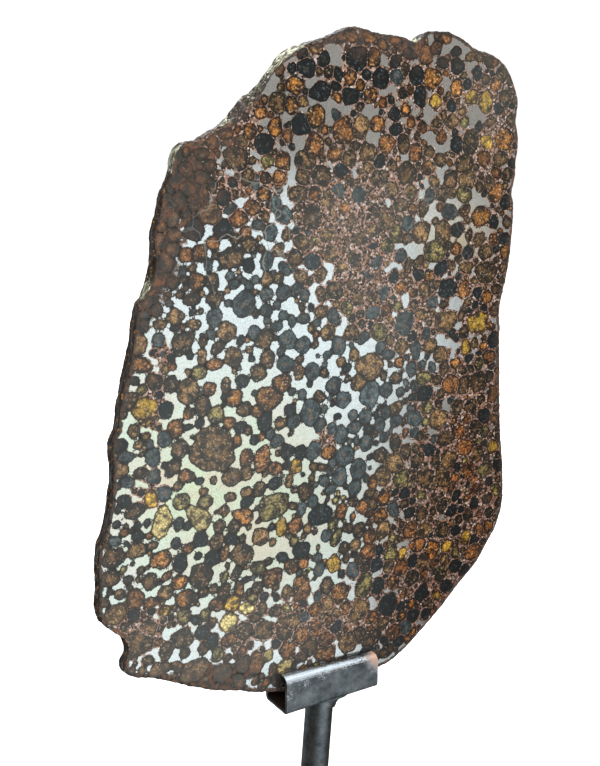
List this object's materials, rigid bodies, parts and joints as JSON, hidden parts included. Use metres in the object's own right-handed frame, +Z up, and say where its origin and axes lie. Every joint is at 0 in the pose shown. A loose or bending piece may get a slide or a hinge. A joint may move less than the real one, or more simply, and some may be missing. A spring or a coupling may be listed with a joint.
{
  "type": "pallasite meteorite slice on a stand",
  "caption": "Polished slab of stony-iron meteorite with olivine grains in metal, upright in a slotted steel bracket on a post and base plate.",
  "frame": {"origin": "middle of the base plate's underside, on the post's axis", "axes": "+Z up along the post, the slice's polished front faces -Y, its width runs along X"},
  "size_m": [0.1986, 0.086, 0.3676],
  "materials": {
    "pallasite": "sawn, ground and polished, with a rough dark crust on the rim",
    "blackened_steel": "mill scale and blackening oil, rubbed bright on the folds"
  },
  "bodies": {
    "root": {"slice": "pallasite", "bracket": "blackened_steel", "post": "blackened_steel", "base": "blackened_steel"}
  },
  "joints": []
}
